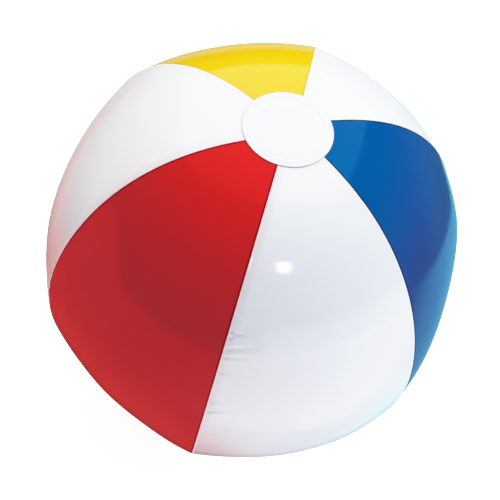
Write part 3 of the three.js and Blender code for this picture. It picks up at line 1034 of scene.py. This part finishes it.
def add_floor():
    angles = np.linspace(0, 2 * math.pi, 96, endpoint=False)
    corners = [(FLOOR_RADIUS * math.cos(angle), FLOOR_RADIUS * math.sin(angle), 0) for angle in angles]
    mesh = bpy.data.meshes.new("floor")
    mesh.from_pydata(corners, [], [tuple(range(len(corners)))])
    floor = bpy.data.objects.new("floor", mesh)
    bpy.context.scene.collection.objects.link(floor)
    material, tree, shader = new_material("floor_paper")
    place = node(tree, "TexCoord").outputs["Object"]
    grain = remap(tree, noise(tree, place, 90, 3, 0.5), 0.3, 0.7, 0.0, 1.0)
    paper = mix_colours(tree, grain, (0.86, 0.86, 0.87, 1), (0.89, 0.89, 0.89, 1))
    tree.links.new(paper, shader.inputs["Base Color"])
    shader.inputs["Roughness"].default_value = 0.9
    shader.inputs["Emission Color"].default_value = (1, 1, 1, 1)
    shader.inputs["Emission Strength"].default_value = FLOOR_GLOW
    mesh.materials.append(material)
    floor.visible_diffuse = False
    floor.visible_glossy = False


def weighted_sum(tree, terms):
    """Sum of several outputs, each times its own level."""
    total = 0.0
    for value, level in terms:
        product = node(tree, "Math", {0: value, 1: level, 2: total}, operation="MULTIPLY_ADD")
        total = product.outputs[0]
    return total


def coloured_sum(tree, terms):
    """Sum of several colours, each times an output."""
    total = (0.0, 0.0, 0.0)
    for value, colour in terms:
        if not isinstance(value, bpy.types.NodeSocket):
            value = (value, value, value)
        product = node(tree, "VectorMath", {0: value, 1: colour, 2: total}, operation="MULTIPLY_ADD")
        total = product.outputs[0]
    return total


def along(tree, toward, axis):
    return node(tree, "VectorMath", {0: toward, 1: axis}, operation="DOT_PRODUCT").outputs["Value"]


def glow(tree, toward, azimuth, elevation, width):
    """1 towards a direction, fading to 0 at width degrees from it."""
    part = along(tree, toward, direction(azimuth, elevation))
    edge, core = math.cos(math.radians(width)), math.cos(math.radians(0.35 * width))
    return remap(tree, part, edge, core, 0.0, 1.0)


def panel_of_light(tree, toward, azimuth, elevation, tilt, half_width, half_height, softness):
    """1 inside a leaning rectangle as seen from the ball, 0 outside. Its sizes are angles in degrees."""
    facing = direction(azimuth, elevation)
    level_right = facing.cross(Vector((0, 0, 1))).normalized()
    level_up = level_right.cross(facing)
    lean = math.radians(tilt)
    right = math.cos(lean) * level_right + math.sin(lean) * level_up
    up = math.cos(lean) * level_up - math.sin(lean) * level_right
    ahead = along(tree, toward, facing)
    inside = remap(tree, ahead, 0.0, 0.05, 0.0, 1.0)
    for axis, half in ((right, half_width), (up, half_height)):
        offset = math_of(tree, "ABSOLUTE", along(tree, toward, axis))
        reach = math_of(tree, "MULTIPLY", ahead, math.tan(math.radians(half)))
        room = math_of(tree, "SUBTRACT", reach, offset)
        inside = math_of(tree, "MULTIPLY", inside, remap(tree, room, 0.0, softness, 0.0, 1.0))
    return inside


def masked(tree, light, *masks):
    for mask in masks:
        light = math_of(tree, "MULTIPLY", light, mask)
    return light


def soft_light(tree, toward, split, overhead):
    """Light that falls softly on the ball: from white walls on the left and at the back, a warm card, a
    pale floor and a little from overhead. It is slightly warmer on the left."""
    floor_lights = [(glow(tree, toward, *place), level) for *place, level in FLOOR_LIGHTS]
    below = remap(tree, split["Z"], 0.03, -0.03, 0.0, 1.0)
    floor = masked(tree, weighted_sum(tree, floor_lights), below)
    walls = [(glow(tree, toward, *place), colour) for *place, colour in WALLS]
    light = coloured_sum(tree, [*walls, (overhead, OVERHEAD_LIGHT), (floor, (1.0, 1.0, 1.0))])
    lit_side = remap(tree, split["X"], -0.6, 0.5, 0.0, 1.0)
    daylight = mix_colours(tree, lit_side, (1.0, 0.985, 0.975, 1), (0.93, 0.97, 1.04, 1))
    return node(tree, "VectorMath", {0: daylight, 1: light}, operation="MULTIPLY").outputs[0]


def mirrored_light(tree, toward, split, overhead):
    """What the film mirrors: a softbox behind the ball, a lit floor that begins where a dark room ends,
    tinted patches of floor on the left and behind, a card at the side, and a dim room all round."""
    softbox = panel_of_light(tree, toward, 132, 48, 3.5, 34.6, 40.5, 0.03)
    side_card = panel_of_light(tree, toward, -2, -4, 0, 32, 9, 0.03)
    left_floor = glow(tree, toward, 124, -38, 24)
    far_side = glow(tree, toward, 90, -22, 34)

    # The room's end lies lowest in front of the ball and rises towards the left.
    left_rise = remap(tree, split["X"], -0.70, -0.40, -0.33, 0.0)
    dip = remap(tree, split["X"], -0.05, 0.22, 0.07, 0.0)
    room_end = weighted_sum(tree, [(split["Z"], 1.0), (left_rise, 1.0), (dip, 1.0)])
    far_floor = remap(tree, room_end, -0.15, -0.19, 0.0, 1.0)

    under_ball = along(tree, toward, Vector((0.25, 0, 1)))
    open_floor = remap(tree, under_ball, -0.86, -0.70, 0.0, 1.0)
    behind = along(tree, toward, Vector((-0.6, 1, 0)))
    front_floor = remap(tree, behind, 0.05, -0.2, 0.0, 1.0)
    near_card = remap(tree, along(tree, toward, direction(-10, -15)), 0.2, 0.95, 0.05, 1.0)
    lit_floor = masked(tree, near_card, far_floor, open_floor, front_floor)

    left_end = remap(tree, split["X"], -0.86, -0.72, 0.0, 1.0)
    red_floor = masked(tree, glow(tree, toward, -128, -40, 75), far_floor, left_end)
    back_edge = remap(tree, along(tree, toward, Vector((-0.35, 0.59, 0.73))), 0.05, 0.015, 0.0, 1.0)
    back_floor = masked(tree, glow(tree, toward, 74, -42, 38), back_edge)
    return coloured_sum(
        tree,
        [
            (softbox, (0.53, 0.53, 0.53)),
            (lit_floor, (0.72, 0.64, 0.56)),
            (back_floor, (0.17, 0.62, 0.76)),
            (far_side, (0.0, 0.16, 0.20)),
            (left_floor, (0.42, 0.42, 0.42)),
            (red_floor, (0.74, 0.05, 0.04)),
            (side_card, (0.52, 0.52, 0.50)),
            (overhead, (0.12, 0.12, 0.12)),
            (1.0, (0.022, 0.013, 0.005)),
        ],
    )


def light_world():
    """The studio as a dome of light. What the film mirrors is darker and has clearer edges than the
    light that falls softly on it, and only the camera sees the white backdrop."""
    world = bpy.data.worlds.new("studio")
    bpy.context.scene.world = world
    world.use_nodes = True
    tree = world.node_tree
    tree.nodes.clear()
    toward = node(tree, "TexCoord").outputs["Generated"]
    split = node(tree, "SeparateXYZ", {0: toward}).outputs
    overhead = remap(tree, split["Z"], 0.5, 0.95, 0.0, 1.0)
    soft = soft_light(tree, toward, split, overhead)
    mirrored = mirrored_light(tree, toward, split, overhead)

    rays = node(tree, "LightPath").outputs
    seen = mix_colours(tree, rays["Is Glossy Ray"], soft, mirrored)
    colour = mix_colours(tree, rays["Is Camera Ray"], seen, (*BACKDROP, 1))
    background = node(tree, "Background", {"Color": colour})
    output = node(tree, "OutputWorld")
    tree.links.new(background.outputs[0], output.inputs["Surface"])
    world.cycles.sampling_method = "NONE"


CAMERA_DISTANCE = 2.016
CAMERA_AZIMUTH = -60.76
CAMERA_ELEVATION = 53.855
CAMERA_ROLL = math.radians(16.816)
CAMERA_LENS = 180.5
AIM_LEFT = 0.0011  # how far left of the ball's middle and above it the camera aims
AIM_ABOVE = 0.00014


def add_camera():
    toward = direction(CAMERA_AZIMUTH, CAMERA_ELEVATION)
    level_right = Vector((0, 0, 1)).cross(toward).normalized()
    level_up = toward.cross(level_right)
    right = math.cos(CAMERA_ROLL) * level_right + math.sin(CAMERA_ROLL) * level_up
    up = math.cos(CAMERA_ROLL) * level_up - math.sin(CAMERA_ROLL) * level_right
    data = bpy.data.cameras.new("camera")
    data.lens = CAMERA_LENS
    data.sensor_width = 36
    camera = bpy.data.objects.new("camera", data)
    place = centre() + toward * CAMERA_DISTANCE - right * AIM_LEFT + up * AIM_ABOVE
    turn = Matrix((right, up, toward)).transposed().to_4x4()
    camera.matrix_world = Matrix.Translation(place) @ turn
    bpy.context.scene.collection.objects.link(camera)
    bpy.context.scene.camera = camera


PAPER_WHITE = 1.6
TONES = [(0.30, 0.29), (0.65, 0.63), (0.90, 0.84), (1.0, 0.90), (1.2, 0.955), (1.4, 0.985)]


def set_tones():
    """A photographic tone curve: deep shadows a little deeper, and whites that roll off to paper white."""
    view = bpy.context.scene.view_settings
    view.view_transform = "Standard"
    view.use_curve_mapping = True
    mapping = view.curve_mapping
    mapping.white_level = (PAPER_WHITE, PAPER_WHITE, PAPER_WHITE)
    combined = mapping.curves[3]
    for scene_light, shown in TONES:
        combined.points.new(scene_light / PAPER_WHITE, shown)
    mapping.update()


# ---------------------------------------------------------------- assembly

red = film_material(
    "red_film",
    base=(0.522, 0.030, 0.041),
    thin=(0.546, 0.034, 0.045),
    painted_top_colour=(0.67, 0.017, 0.019),
    weld=(0.23, 0.006, 0.012),
    gloss_tint=(1, 0.03, 0.03),
)
white = film_material(
    "white_film",
    base=(0.885, 0.905, 0.935),
    thin=(0.905, 0.92, 0.95),
    painted_top_colour=(0.90, 0.92, 0.945),
    weld=(0.99, 0.97, 0.97),
)
blue = film_material(
    "blue_film",
    base=(0.031, 0.056, 0.222),
    thin=(0.035, 0.062, 0.236),
    painted_top_colour=(0.0, 0.092, 0.33),
    weld=(0.004, 0.030, 0.11),
    gloss_tint=(0.0, 0.75, 1),
)
yellow = film_material(
    "yellow_film",
    base=(0.80, 0.50, 0.0),
    thin=(0.82, 0.53, 0.001),
    painted_top_colour=(0.82, 0.57, 0.002),
    weld=(0.74, 0.50, 0.010),
)
cap_vinyl = cap_material()
valve_vinyl = valve_material()

PANEL_FILMS = {
    "blue_panel": (blue, "blue_film"),
    "yellow_panel": (yellow, "yellow_film"),
    "red_panel": (red, "red_film"),
}
for index, panel_name in enumerate(PANELS):
    add_panel(index, *PANEL_FILMS.get(panel_name, (white, "white_film")))

add_cap("top_cap", True, cap_vinyl)
add_cap("bottom_cap", False, cap_vinyl)

add_flange(valve_vinyl)
add_web(valve_vinyl)
add_turned("valve_stem_tube", stem_profile(), valve_vinyl, "valve_stem")
add_stopper(valve_vinyl)
add_tether(valve_vinyl)
add_flap(valve_vinyl)

add_floor()
light_world()
add_key_light()
add_camera()
set_tones()
